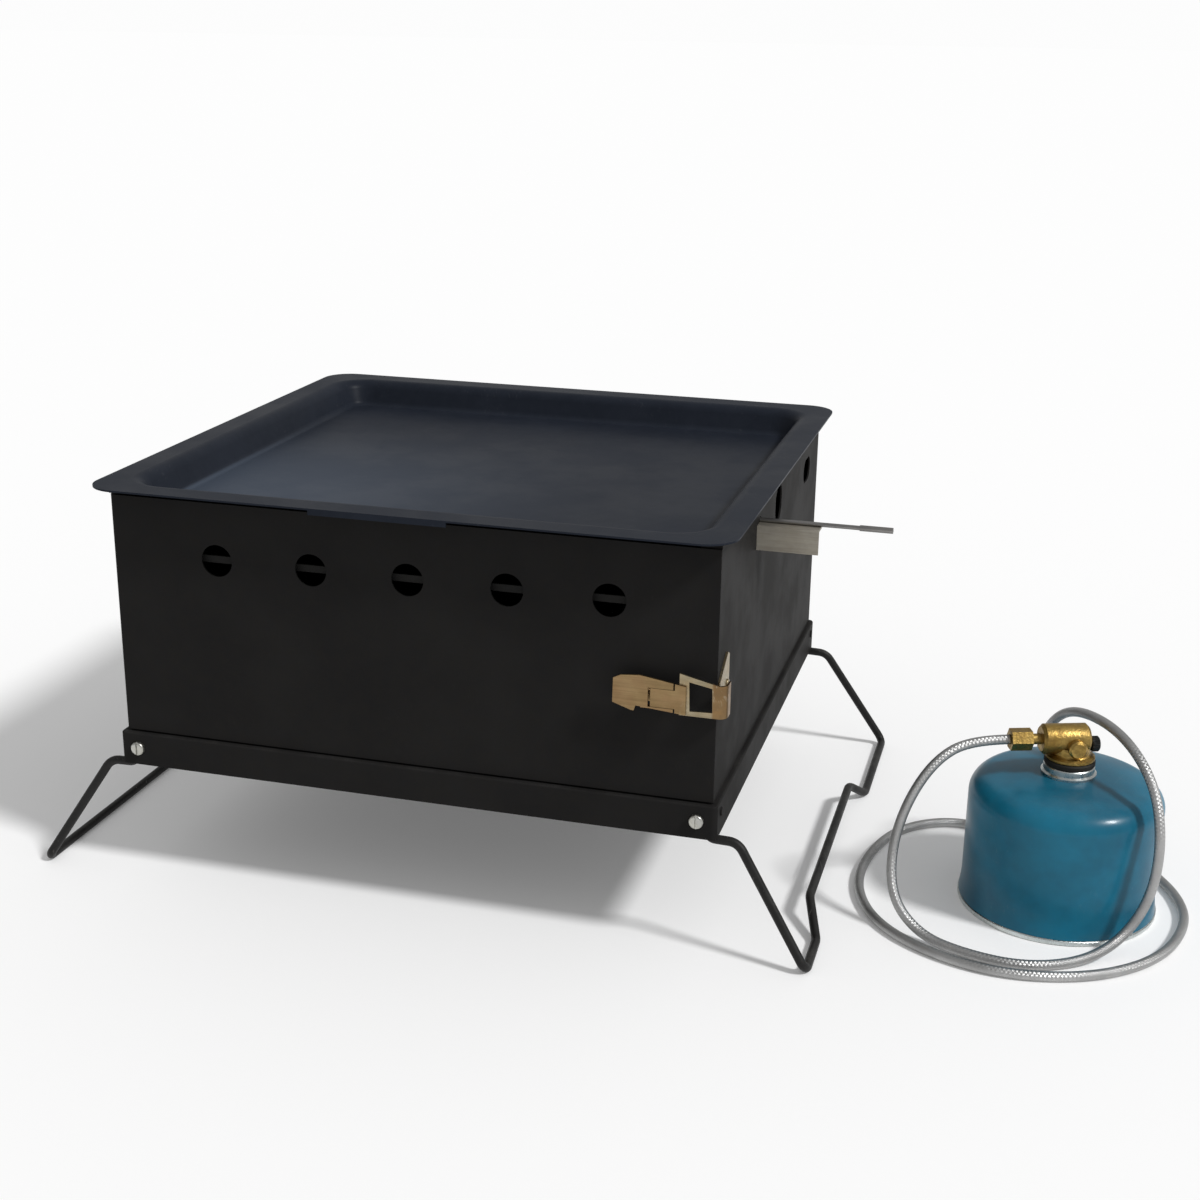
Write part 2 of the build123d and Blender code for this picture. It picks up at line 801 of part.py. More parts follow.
def upright(x, y, half, radius):
    return rod((x, y, latch_z - half), (x, y, latch_z + half), radius)


def from_corner(points):
    return [(half_x + x, latch_z + z) for x, z in points]


def upright_sheet(points, front, back):
    outline = make_face(Polyline(*points, close=True))
    return Pos(0, back, 0) * extrude(Plane.XZ * outline, back - front)


def handle_plate(left, right):
    outline = from_corner(handle_top + handle_bottom[::-1])
    plate = upright_sheet(outline, face_y - latch_plate, face_y)
    return plate & block(left, right, face_y - latch_plate, face_y,
                         latch_z - catch_tip, latch_z + catch_tip)


def latch_base():
    half = cheek_inner - side_gap
    plate = block(latch_base_start, latch_pivot_x, latch_front - latch_plate, latch_front,
                  latch_z - half, latch_z + half)
    plate += block(latch_pivot_x - latch_barrel_r, latch_pivot_x, latch_pivot_y, latch_front,
                   latch_z - half, latch_z + half)
    plate += upright(latch_pivot_x, latch_pivot_y, half, latch_barrel_r)
    plate -= upright(latch_pivot_x, latch_pivot_y, half + 1, latch_pin_r)
    for x in latch_rivet_x:
        plate -= rod((x, latch_front - latch_plate - 1, latch_z), (x, latch_front + 1, latch_z),
                     small_shank_r)
    return plate


def latch_base_rivets():
    outer = latch_front - latch_plate
    return [rivet((x, outer, latch_z), (x, latch_front + sheet, latch_z), small_shank_r, small_rivet_r,
                  small_rivet_h) for x in latch_rivet_x]


def latch_lever():
    slot_left = bail_pivot_x - lever_slot_back
    lever = handle_plate(0, lever_right)
    lever -= block(slot_left, half_x, face_y - latch_plate, face_y,
                   latch_z - cheek_inner, latch_z + cheek_inner)
    seat = face_y - latch_plate / 2
    ear_r = latch_barrel_r - side_gap
    cheek = make_face(Polyline(
        (slot_left - lever_cheek_foot, seat), (lever_right, seat),
        (latch_pivot_x + ear_r, latch_pivot_y), (latch_pivot_x, latch_pivot_y + ear_r),
        (bail_pivot_x - ear_r, bail_pivot_y + ear_r), close=True))
    cheek += Pos(latch_pivot_x, latch_pivot_y) * Circle(ear_r)
    for bottom in (latch_z - cheek_inner - cheek_sheet, latch_z + cheek_inner):
        lever += Pos(0, 0, bottom) * extrude(cheek, cheek_sheet)
    half = cheek_inner + cheek_sheet + 1
    lever -= upright(latch_pivot_x, latch_pivot_y, half, latch_pin_r + running_gap)
    return lever - upright(bail_pivot_x, bail_pivot_y, half, latch_pin_r)


def latch_pivot_pin():
    return upright(latch_pivot_x, latch_pivot_y, cheek_inner + cheek_sheet, latch_pin_r)


def latch_bail_pin():
    return upright(bail_pivot_x, bail_pivot_y, cheek_inner + cheek_sheet, latch_pin_r)


def latch_ring():
    left = half_x + ring_start
    right = half_x + ring_reach
    inner = face_y + latch_plate
    back = face_y + ring_return
    low = latch_z + ring_bottom
    high = latch_z + ring_top[0]
    side_high = latch_z + ring_top[1]
    outside = FilletPolyline((left, face_y), (right, face_y), (right, back), radius=ring_bend_r)
    inside = FilletPolyline((left, inner), (right - latch_plate, inner), (right - latch_plate, back),
                            radius=ring_bend_r - latch_plate)
    ends = [Line(outside @ 0, inside @ 0), Line(outside @ 1, inside @ 1)]
    section = make_face([*outside.edges(), *inside.edges(), *ends])
    ring = Pos(0, 0, low) * extrude(section, high - low)
    above = [(left, high), (half_x + ring_bend, side_high), (right + 1, side_high), (right + 1, high + 1),
             (left, high + 1)]
    ring -= upright_sheet(above, face_y - 1, back + 1)
    return ring - upright_sheet(from_corner(ring_hole), face_y - 1, inner + 1)


def latch_bail():
    half = cheek_inner - side_gap
    front = face_y - latch_plate
    plate_left = lever_right + bail_seam
    bail = handle_plate(plate_left, half_x)
    bail += block(bail_pivot_x - tongue_back, plate_left + 1, front, face_y,
                  latch_z - half, latch_z + half)
    bail += block(bail_pivot_x - latch_pin_r, bail_pivot_x + latch_pin_r, front, bail_pivot_y,
                  latch_z - half, latch_z + half)
    bail += upright(bail_pivot_x, bail_pivot_y, half, latch_barrel_r)
    bail += latch_ring()
    return bail - upright(bail_pivot_x, bail_pivot_y, half + 1, latch_pin_r + running_gap)


def catch_rivet_places():
    z = latch_z + catch_rivet_rise
    return [(catch_front_y + catch_rivet_inset, z), (catch_front_y + catch_depth - catch_rivet_inset, z)]


def latch_catch():
    front = catch_front_y
    back = catch_front_y + catch_depth
    low = latch_z + catch_bottom
    tip = latch_z + catch_tip
    outline = Polyline(
        (front, low + catch_corner), (front + catch_corner, low), (back - catch_corner, low),
        (back, low + catch_corner), (back, tip - catch_corner), (back - catch_tip_back, tip),
        (front, latch_z + catch_shoulder), close=True)
    plate = Pos(half_x, 0, 0) * extrude(Plane.YZ * make_face(outline), catch_sheet)
    for y, z in catch_rivet_places():
        plate -= rod((half_x - 1, y, z), (half_x + catch_sheet + 1, y, z), small_shank_r)
    return plate


def catch_rivets():
    return [rivet((half_x - sheet, y, z), (half_x + catch_sheet, y, z), small_shank_r, small_rivet_r,
                  small_rivet_h) for y, z in catch_rivet_places()]


# Gas cartridge
def turned(points):
    profile = Plane.XZ * make_face(Polyline(*points, close=True))
    return Pos(can_x, can_y, 0) * revolve(profile, Axis.Z)


def can_profile(inset, floor_z):
    radius = can_r - seam_proud - inset
    top = can_top_z - inset
    shoulder = can_shoulder_z - inset
    lift = top - shoulder
    body_r = radius - flare_width
    side = Line((body_r, flare_height), (body_r, shoulder - 4))
    flare = Line((radius, floor_z), (body_r, flare_height))
    round_over = Spline((body_r, shoulder - 4), (body_r - 4.5, shoulder + lift * 0.28),
                        (can_seat_r + 12, shoulder + lift * 0.86), (can_seat_r, top),
                        tangents=[(0, 1), (-1, 0.02)])
    crown = Line((can_seat_r, top), (0, top))
    axis = Line((0, top), (0, floor_z))
    floor = Line((0, floor_z), (radius, floor_z))
    return make_face([flare, side, round_over, crown, axis, floor])


def cartridge_can():
    outside = revolve(Plane.XZ * can_profile(0, seam_height), Axis.Z)
    inside = revolve(Plane.XZ * can_profile(can_wall, seam_height + can_wall), Axis.Z)
    mouth = rod((0, 0, can_top_z - 3), (0, 0, can_top_z + 1), can_mouth_r)
    return Pos(can_x, can_y, 0) * (outside - inside - mouth)


def cartridge_base_rim():
    ring = rod((can_x, can_y, 0), (can_x, can_y, seam_height), can_r)
    ring -= rod((can_x, can_y, -1), (can_x, can_y, seam_height + 1), can_r - seam_width)
    outer = [edge for edge in ring.edges().filter_by(GeomType.CIRCLE) if edge.radius > can_r - 0.1]
    return fillet(outer, 0.8)


def cartridge_valve_cup():
    return turned([
        (0, cup_z - 1.0), (can_mouth_r, cup_z - 1.0), (can_mouth_r, cup_z), (cup_flange_r, cup_z),
        (cup_flange_r, cup_z + cup_flange_h), (cup_r, cup_z + cup_flange_h + 0.8),
        (cup_r, ring_z - 0.5), (cup_r - 0.5, ring_z), (cup_r - cup_wall + 0.5, ring_z),
        (cup_r - cup_wall, ring_z - 0.5), (cup_r - cup_wall, ring_z - 3), (nozzle_r, ring_z - 3),
        (nozzle_r, ring_z - 3 + nozzle_h), (nozzle_r - 1, ring_z - 2 + nozzle_h),
        (0, ring_z - 2 + nozzle_h),
    ])


def valve_seal_ring():
    inner = nozzle_r + side_gap
    return turned([
        (inner, ring_z), (cup_r - 0.6, ring_z), (cup_r, ring_z + 0.8), (cup_r, valve_z - 0.8),
        (cup_r - 0.6, valve_z), (inner, valve_z),
    ])


# Brass valve, its knob and the hose nut, made with the outlet along -X and then turned together
def on_valve(shape):
    return Pos(can_x, can_y, 0) * Rot(0, 0, valve_turn) * shape


def along_x(x0, x1, z, radius):
    return rod((x0, 0, z), (x1, 0, z), radius)


def valve_body():
    foot = Polyline(
        (0, valve_z), (valve_flange_r - 0.6, valve_z), (valve_flange_r, valve_z + 0.6),
        (valve_flange_r, valve_z + valve_flange_h - 1.2),
        (valve_boss_r + 0.6, valve_z + valve_flange_h), (valve_boss_r, valve_z + valve_flange_h + 0.6),
        (valve_boss_r, valve_z + valve_boss_h), (0, valve_z + valve_boss_h), close=True)
    body = revolve(Plane.XZ * make_face(foot), Axis.Z)
    left, right = valve_barrel_x
    barrel = along_x(left, right, valve_axis_z, valve_barrel_r)
    body += chamfer(barrel.edges().filter_by(GeomType.CIRCLE), 1.6)
    boss_z = knob_z + 1
    boss = rod((0, 0, boss_z), (0, -front_boss_reach, boss_z), front_boss_r)
    tip = Vector(0, -front_boss_reach, boss_z)
    body += chamfer(boss.edges().filter_by(GeomType.CIRCLE).sort_by_distance(tip)[0], 1.2)
    body += along_x(left - stem_length, left + 1, valve_axis_z, stem_r)
    body -= rod((0, 0, valve_z - 1), (0, 0, valve_z + nozzle_h - 2), nozzle_r + side_gap)
    body -= along_x(valve_boss_r - knob_stem_depth - 0.5, valve_boss_r + 1, knob_z,
                    knob_stem_r + running_gap)
    return on_valve(body)


def valve_knob():
    start = valve_boss_r + 0.5
    knob = along_x(start, start + knob_h, knob_z, knob_r)
    knob = chamfer(knob.edges().filter_by(GeomType.CIRCLE), 0.6)
    for index in range(knob_notches):
        angle = 2 * pi * index / knob_notches
        y = (knob_r + 0.5) * cos(angle)
        z = knob_z + (knob_r + 0.5) * sin(angle)
        knob -= rod((start - 1, y, z), (start + knob_h + 1, y, z), knob_notch_r)
    return on_valve(knob + along_x(start - 0.5 - knob_stem_depth, start + 1, knob_z, knob_stem_r))


def hose_nut():
    right = hose_nut_x + hose_nut_length
    nut = hex_rod((hose_nut_x, 0, valve_axis_z), (right, 0, valve_axis_z), hose_nut_flat)
    stem_end = valve_barrel_x[0] - stem_length
    return on_valve(nut - along_x(stem_end, right + 1, valve_axis_z, stem_r))


# Gas hose and the pieces on its far end
def hose_route():
    return [Vector(can_x + x, can_y + y, z) for x, y, z in hose_points]


def hose_bends():
    route = hose_route()
    bends = []
    for before, corner, after in zip(route, route[1:], route[2:]):
        first = corner - before
        second = after - corner
        turn = radians(first.get_angle(second))
        bends.append(0.45 * min(first.length, second.length) / tan(turn / 2))
    return bends


def gas_hose():
    route = hose_route()
    bends = hose_bends()
    path = FilletPolyline(*route, radius=bends)
    start = Plane(origin=path @ 0, z_dir=path % 0)
    hose = sweep(start * Circle(hose_r), path=path)
    print("hose length", round(path.length, 1), "smallest bend", round(min(bends), 1))
    print("hose bends", [round(bend) for bend in bends])
    print("hose volume over section times length",
          round(hose.volume / (pi * hose_r ** 2 * path.length), 5))
    return hose


def beyond_hose(distance):
    route = hose_route()
    way = (route[-1] - route[-2]).normalized()
    return tuple(route[-1] + way * distance)


def hose_end_ferrule():
    ring = rod(beyond_hose(0), beyond_hose(ferrule_length), ferrule_r)
    return chamfer(ring.edges().filter_by(GeomType.CIRCLE), 0.5)


def hose_end_fitting():
    nut_end = ferrule_length + end_nut_length
    mouth = nut_end + socket_length
    fitting = hex_rod(beyond_hose(ferrule_length), beyond_hose(nut_end), end_nut_flat)
    fitting += rod(beyond_hose(nut_end), beyond_hose(mouth), socket_r)
    return fitting - rod(beyond_hose(mouth - socket_depth), beyond_hose(mouth + 1), socket_bore_r)


save("base_pan", base_pan())
save("wall_rivets", *wall_rivets())
save("skirt_gussets", *skirt_gussets())
save("skirt_rivets", *skirt_rivets())
save("side_wall_left", side_wall_left())
save("side_wall_right", side_wall_right())
save("back_wall", back_wall())
save("door_panel", door_panel())
save("door_hinge_pin", door_hinge_pin())
save("leg_left", leg(-1, False))
save("leg_right", leg(1, True))
save("leg_pivot_bolts", *leg_pivot_bolts())
save("leg_pivot_nuts", *leg_pivot_nuts())
save("leg_pivot_washers", *leg_pivot_washers())
save("baking_tray", baking_tray())
save("front_tie_bar", front_tie_bar())
save("rack_rail_left", rack_rail(-1))
save("rack_rail_right", rack_rail(1))
save("oven_rack", oven_rack())
save("burner_tube", burner_tube())
save("mixing_tube", mixing_tube())
save("gas_injector", gas_injector())
save("burner_shelf_left", burner_shelf(-1, -half_x + left_shelf_reach, left_shelf_half))
save("burner_shelf_right", burner_shelf(1, burner_end_x - mixing_overlap,
                                        burner_run_y + right_shelf_margin))
save("inlet_pipe", inlet_pipe())
save("inlet_pipe_end", inlet_pipe_end())
save("inlet_bracket", inlet_bracket())
save("bracket_rivets", *bracket_rivets())
save("latch_base", latch_base())
save("latch_base_rivets", *latch_base_rivets())
save("latch_lever", latch_lever())
save("latch_pivot_pin", latch_pivot_pin())
save("latch_bail_pin", latch_bail_pin())
save("latch_bail", latch_bail())
save("latch_catch", latch_catch())
save("catch_rivets", *catch_rivets())
save("cartridge_can", cartridge_can())
save("cartridge_base_rim", cartridge_base_rim())
save("cartridge_valve_cup", cartridge_valve_cup())
save("valve_seal_ring", valve_seal_ring())
save("valve_body", valve_body())
save("valve_knob", valve_knob())
save("hose_nut", hose_nut())
save("gas_hose", gas_hose())
save("hose_end_ferrule", hose_end_ferrule())
save("hose_end_fitting", hose_end_fitting())
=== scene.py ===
import math
import bpy
import bmesh
from mathutils import Matrix, Vector


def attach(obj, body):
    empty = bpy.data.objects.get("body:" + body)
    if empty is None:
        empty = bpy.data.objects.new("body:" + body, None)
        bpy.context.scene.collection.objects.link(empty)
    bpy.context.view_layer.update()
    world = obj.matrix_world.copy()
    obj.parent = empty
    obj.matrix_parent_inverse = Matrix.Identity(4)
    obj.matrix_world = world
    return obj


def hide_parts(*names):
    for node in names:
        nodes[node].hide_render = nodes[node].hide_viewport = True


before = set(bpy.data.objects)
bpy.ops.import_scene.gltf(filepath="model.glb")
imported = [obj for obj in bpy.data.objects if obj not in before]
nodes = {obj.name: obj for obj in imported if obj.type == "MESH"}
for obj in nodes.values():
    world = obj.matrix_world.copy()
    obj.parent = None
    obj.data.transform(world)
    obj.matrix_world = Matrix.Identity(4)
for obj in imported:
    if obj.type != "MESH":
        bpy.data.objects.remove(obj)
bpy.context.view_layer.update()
scene = bpy.context.scene
print("frame loaded with", len(nodes), "nodes")

# Camera, where the photographer stood: place in metres, angles in degrees, lens in millimetres
cameraSettings = {
    "place": (0.3347, -0.9786, 0.4778),
    "heading": 15.399,
    "down": 18.4135,
    "roll": 0.7656,
    "lens": 53.05,
    "sensor": 36,
    "clipEnd": 50,
}


def makeCamera(settings):
    data = bpy.data.cameras.new("camera")
    data.lens = settings["lens"]
    data.sensor_width = settings["sensor"]
    data.clip_end = settings["clipEnd"]
    camera = bpy.data.objects.new("camera", data)
    scene.collection.objects.link(camera)
    turn = Matrix.Rotation(math.radians(settings["heading"]), 4, "Z")
    tilt = Matrix.Rotation(math.radians(90 - settings["down"]), 4, "X")
    roll = Matrix.Rotation(math.radians(settings["roll"]), 4, "Z")
    camera.matrix_world = Matrix.Translation(settings["place"]) @ turn @ tilt @ roll
    scene.camera = camera


makeCamera(cameraSettings)
scene.view_settings.view_transform = "Standard"


# Small helpers for shader nodes. A value is either another node's output or a constant.
def feed(tree, socket, value):
    if isinstance(value, bpy.types.NodeSocket):
        tree.links.new(value, socket)
    else:
        socket.default_value = value


def addNode(tree, kind, values=None, **settings):
    made = tree.nodes.new(kind)
    for name, value in settings.items():
        setattr(made, name, value)
    for name, value in (values or {}).items():
        feed(tree, made.inputs[name], value)
    return made


def mathNode(tree, operation, first, second=0.0, clamp=False):
    made = tree.nodes.new("ShaderNodeMath")
    made.operation = operation
    made.use_clamp = clamp
    feed(tree, made.inputs[0], first)
    feed(tree, made.inputs[1], second)
    return made.outputs[0]


# A smooth step from one range to another, by default to 0 and 1
def remap(tree, value, low, high, toLow=0.0, toHigh=1.0):
    made = addNode(tree, "ShaderNodeMapRange", {"Value": value})
    made.interpolation_type = "SMOOTHSTEP"
    for name, number in zip(("From Min", "From Max", "To Min", "To Max"), (low, high, toLow, toHigh)):
        made.inputs[name].default_value = number
    return made.outputs["Result"]


# The Mix node's sockets 6 and 7 and its output 2 are the colour ones
def mixColour(tree, factor, first, second):
    made = tree.nodes.new("ShaderNodeMix")
    made.data_type = "RGBA"
    feed(tree, made.inputs[0], factor)
    for index, colour in ((6, first), (7, second)):
        feed(tree, made.inputs[index], (*colour, 1.0) if isinstance(colour, tuple) else colour)
    return made.outputs[2]


def noiseOf(tree, vector, scale, detail, roughness):
    made = addNode(tree, "ShaderNodeTexNoise",
                   {"Vector": vector, "Scale": scale, "Detail": detail, "Roughness": roughness})
    return made.outputs["Fac"]


def startGroup(name, inputs, outputs):
    group = bpy.data.node_groups.new(name, "ShaderNodeTree")
    for label, default in inputs.items():
        socket = group.interface.new_socket(label, in_out="INPUT", socket_type="NodeSocketFloat")
        socket.default_value = default
    for label in outputs:
        group.interface.new_socket(label, in_out="OUTPUT", socket_type="NodeSocketFloat")
    source = group.nodes.new("NodeGroupInput")
    sink = group.nodes.new("NodeGroupOutput")
    place = addNode(group, "ShaderNodeTexCoord").outputs["Object"]
    return group, source, sink, place


def useGroup(tree, group, **values):
    made = tree.nodes.new("ShaderNodeGroup")
    made.node_tree = group
    for label, value in values.items():
        feed(tree, made.inputs[label], value)
    return made


# Finishes that several materials share. Each noise has its detail and roughness beside it,
# and each range is the part of the noise that is stretched over 0 to 1.
mottleSettings = {
    "broadNoise": (4.0, 0.6),
    "fineNoise": (2.0, 0.5),
    "grainNoise": (3.0, 0.6),
    "grainFiner": 9.0,
    "range": (0.3, 0.7),
}


def makeMottleGroup():
    s = mottleSettings
    group, source, sink, place = startGroup("mottle", {"size": 0.02, "fineness": 0.0012},
                                            ("broad", "fine", "grain"))
    broadScale = mathNode(group, "DIVIDE", 1.0, source.outputs["size"])
    fineScale = mathNode(group, "DIVIDE", 1.0, source.outputs["fineness"])
    grainScale = mathNode(group, "MULTIPLY", broadScale, s["grainFiner"])
    broad = noiseOf(group, place, broadScale, *s["broadNoise"])
    fine = noiseOf(group, place, fineScale, *s["fineNoise"])
    grain = noiseOf(group, place, grainScale, *s["grainNoise"])
    group.links.new(remap(group, broad, *s["range"]), sink.inputs["broad"])
    group.links.new(fine, sink.inputs["fine"])
    group.links.new(remap(group, grain, *s["range"]), sink.inputs["grain"])
    return group


# Dust lies on faces that look upward, in patches, with fine speckles
dustSettings = {
    "upward": (0.25, 0.95),
    "patchNoise": (5.0, 0.65),
    "patchRange": (0.35, 0.75),
    "speckleScale": 900.0,
    "speckleNoise": (1.0, 0.5),
    "speckleRange": (0.35, 0.65, 0.5, 1.0),
}


def makeDustGroup():
    s = dustSettings
    group, source, sink, place = startGroup("dust", {"amount": 0.3, "patch": 0.03}, ("dust",))
    normal = addNode(group, "ShaderNodeNewGeometry").outputs["Normal"]
    upward = addNode(group, "ShaderNodeSeparateXYZ", {"Vector": normal}).outputs["Z"]
    facing = remap(group, upward, *s["upward"])
    patchScale = mathNode(group, "DIVIDE", 1.0, source.outputs["patch"])
    patches = noiseOf(group, place, patchScale, *s["patchNoise"])
    speckles = noiseOf(group, place, s["speckleScale"], *s["speckleNoise"])
    mask = mathNode(group, "MULTIPLY", facing, remap(group, patches, *s["patchRange"]))
    mask = mathNode(group, "MULTIPLY", mask, remap(group, speckles, *s["speckleRange"]))
    mask = mathNode(group, "MULTIPLY", mask, source.outputs["amount"], clamp=True)
    group.links.new(mask, sink.inputs["dust"])
    return group


# Scratches are the peaks of three noises drawn out along three directions
scratchSettings = {
    "directions": ((0.35, (900.0, 14.0, 200.0)), (1.25, (14.0, 820.0, 260.0)),
                   (2.4, (640.0, 18.0, 300.0))),
    "lean": (0.2, 0.15),
    "lineNoise": (1.0, 0.4),
    "lineRange": (0.70, 0.76),
    "patchScale": 22.0,
    "patchNoise": (2.0, 0.5),
    "patchRange": (0.45, 0.7),
}


def makeScratchGroup():
    s = scratchSettings
    group, source, sink, place = startGroup("scratches", {"amount": 0.5}, ("scratch",))
    total = None
    for turn, squeeze in s["directions"]:
        turned = addNode(group, "ShaderNodeMapping", {"Vector": place, "Rotation": (*s["lean"], turn)})
        drawn = addNode(group, "ShaderNodeMapping",
                        {"Vector": turned.outputs["Vector"], "Scale": squeeze})
        lines = noiseOf(group, drawn.outputs["Vector"], 1.0, *s["lineNoise"])
        line = remap(group, lines, *s["lineRange"])
        total = line if total is None else mathNode(group, "MAXIMUM", total, line)
    patches = remap(group, noiseOf(group, place, s["patchScale"], *s["patchNoise"]), *s["patchRange"])
    mask = mathNode(group, "MULTIPLY", total, patches)
    mask = mathNode(group, "MULTIPLY", mask, source.outputs["amount"], clamp=True)
    group.links.new(mask, sink.inputs["scratch"])
    return group


# Brushed lines are a noise with its own scale along each axis
brushSettings = {
    "lineNoise": (3.0, 0.65),
    "lineRange": (0.25, 0.75),
    "blotchScale": 60.0,
    "blotchNoise": (4.0, 0.6),
    "blotchRange": (0.3, 0.7),
}


def makeBrushGroup():
    s = brushSettings
    scales = {"alongX": 20.0, "alongY": 900.0, "alongZ": 900.0}
    group, source, sink, place = startGroup("brushed", scales, ("line", "blotch"))
    scale = addNode(group, "ShaderNodeCombineXYZ",
                    {axis: source.outputs["along" + axis] for axis in "XYZ"})
    squeezed = addNode(group, "ShaderNodeVectorMath", operation="MULTIPLY")
    group.links.new(place, squeezed.inputs[0])
    group.links.new(scale.outputs["Vector"], squeezed.inputs[1])
    lines = noiseOf(group, squeezed.outputs["Vector"], 1.0, *s["lineNoise"])
    blotch = noiseOf(group, place, s["blotchScale"], *s["blotchNoise"])
    group.links.new(remap(group, lines, *s["lineRange"]), sink.inputs["line"])
    group.links.new(remap(group, blotch, *s["blotchRange"]), sink.inputs["blotch"])
    return group


mottle = makeMottleGroup()
dust = makeDustGroup()
scratches = makeScratchGroup()
brushed = makeBrushGroup()
print("shared finishes made")


def startMaterial(name, metallic=0.0, specular=0.5, coat=0.0):
    material = bpy.data.materials.new(name)
    material.use_nodes = True
    tree = material.node_tree
    shader = tree.nodes["Principled BSDF"]
    shader.inputs["Metallic"].default_value = metallic
    shader.inputs["Specular IOR Level"].default_value = specular
    shader.inputs["Coat Weight"].default_value = coat
    return material, tree, shader


# Colour, roughness and a small bump; its height in metres is the distance
def finishMaterial(tree, shader, colour, roughness, height, strength, distance=0.0002):
    bump = addNode(tree, "ShaderNodeBump",
                   {"Height": height, "Strength": strength, "Distance": distance})
    tree.links.new(colour, shader.inputs["Base Color"])
    tree.links.new(roughness, shader.inputs["Roughness"])
    tree.links.new(bump.outputs["Normal"], shader.inputs["Normal"])


# What a painted look has where it says nothing else
plainPaint = {"coat": 0.0, "coatRoughness": 0.03, "dustRoughens": 0.3}


# Painted metal, plastic and rubber. A painted highlight, where there is one, is a lighter colour that
# fades in along each axis.
def painted(name, look):
    look = {**plainPaint, **look}
    material, tree, shader = startMaterial(name, specular=look["specular"], coat=look["coat"])
    shader.inputs["Coat Roughness"].default_value = look["coatRoughness"]
    spots = useGroup(tree, mottle, size=look["mottle"], fineness=look["grain"])
    marks = useGroup(tree, scratches, amount=look["scratch"])
    film = useGroup(tree, dust, amount=look["dust"])
    colour = mixColour(tree, spots.outputs["broad"], look["dark"], look["light"])
    tint = mathNode(tree, "MULTIPLY", spots.outputs["grain"], look["tintAmount"])
    colour = mixColour(tree, tint, colour, look["tint"])
    # Painted highlight: a lighter colour laid over one area in place of the light that falls there
    if "paintedHighlight" in look:
        place = addNode(tree, "ShaderNodeTexCoord").outputs["Object"]
        axes = addNode(tree, "ShaderNodeSeparateXYZ", {"Vector": place})
        highlightArea = look["paintedHighlightAmount"]
        for axis in "XYZ":
            along = remap(tree, axes.outputs[axis], *look["paintedHighlight" + axis])
            highlightArea = mathNode(tree, "MULTIPLY", highlightArea, along)
        colour = mixColour(tree, highlightArea, colour, look["paintedHighlight"])
    colour = mixColour(tree, marks.outputs["scratch"], colour, look["bare"])
    colour = mixColour(tree, film.outputs["dust"], colour, look["dustColour"])
    rough = remap(tree, spots.outputs["broad"], 0.0, 1.0, *look["roughness"])
    dulled = mathNode(tree, "MULTIPLY", film.outputs["dust"], look["dustRoughens"])
    rough = mathNode(tree, "ADD", rough, dulled, clamp=True)
    finishMaterial(tree, shader, colour, rough, spots.outputs["fine"], look["bump"])
    return material


ovenPaint = {
    "specular": 0.025, "mottle": 0.060, "grain": 0.0009, "bump": 0.16, "roughness": (0.50, 0.62),
    "dark": (0.0140, 0.0136, 0.0138), "light": (0.0180, 0.0175, 0.0173),
    "tint": (0.019, 0.017, 0.014), "tintAmount": 0.25,
    "scratch": 0.06, "bare": (0.045, 0.044, 0.042), "dust": 0.08, "dustColour": (0.16, 0.155, 0.15),
}
# Painted light: the tie bar sits behind the vent holes in the door's shade, so it takes a lighter copy
# of the oven paint to look as lit as the door
barPaintedLight = dict(ovenPaint, dark=(0.018, 0.018, 0.018), light=(0.024, 0.0235, 0.023))
trayPaint = {
    "specular": 0.05, "mottle": 0.070, "grain": 0.0007, "bump": 0.12, "roughness": (0.34, 0.44),
    "dark": (0.0115, 0.0145, 0.0215), "light": (0.0155, 0.0190, 0.0275),
    "tint": (0.022, 0.026, 0.036), "tintAmount": 0.20,
    # Painted highlight: the front-left of the well's floor is painted a lighter blue, where the glossy
    # floor catches the light
    "paintedHighlight": (0.058, 0.074, 0.102), "paintedHighlightAmount": 0.75,
    "paintedHighlightX": (0.10, -0.13), "paintedHighlightY": (0.10, -0.10), "paintedHighlightZ": (0.2180, 0.2163),
    "scratch": 0.18, "bare": (0.060, 0.063, 0.070), "dust": 0.02, "dustColour": (0.17, 0.17, 0.18),
}
wirePaint = {
    "specular": 0.20, "mottle": 0.012, "grain": 0.0006, "bump": 0.25, "roughness": (0.40, 0.54),
    "dark": (0.0085, 0.0085, 0.0087), "light": (0.0130, 0.0130, 0.0130),
    "tint": (0.030, 0.026, 0.021), "tintAmount": 0.20,
    "scratch": 0.60, "bare": (0.140, 0.135, 0.130), "dust": 0.18, "dustColour": (0.22, 0.21, 0.19),
}
knobLook = {
    "specular": 0.40, "mottle": 0.006, "grain": 0.0004, "bump": 0.15, "roughness": (0.42, 0.55),
    "dark": (0.0100, 0.0100, 0.0105), "light": (0.0160, 0.0160, 0.0165),
    "tint": (0.030, 0.030, 0.030), "tintAmount": 0.20,
    "scratch": 0.30, "bare": (0.060, 0.060, 0.060), "dust": 0.15, "dustColour": (0.22, 0.21, 0.20),
}
rubberLook = {
    "specular": 0.25, "mottle": 0.005, "grain": 0.0005, "bump": 0.35, "roughness": (0.62, 0.78),
    "dark": (0.0090, 0.0085, 0.0075), "light": (0.0170, 0.0160, 0.0140),
    "tint": (0.040, 0.034, 0.022), "tintAmount": 0.15,
    "scratch": 0.10, "bare": (0.040, 0.040, 0.040), "dust": 0.25, "dustColour": (0.20, 0.19, 0.17),
}


# Bare metals: a mottled colour with brushed lines of a darker shade
def metalColour(tree, look, lines, spots):
    colour = mixColour(tree, lines.outputs["blotch"], look["dark"], look["light"])
    tint = mathNode(tree, "MULTIPLY", spots.outputs["broad"], look["tintAmount"])
    colour = mixColour(tree, tint, colour, look["tint"])
    streak = mathNode(tree, "MULTIPLY", lines.outputs["line"], look["streak"])
    return mixColour(tree, streak, colour, look["shade"])


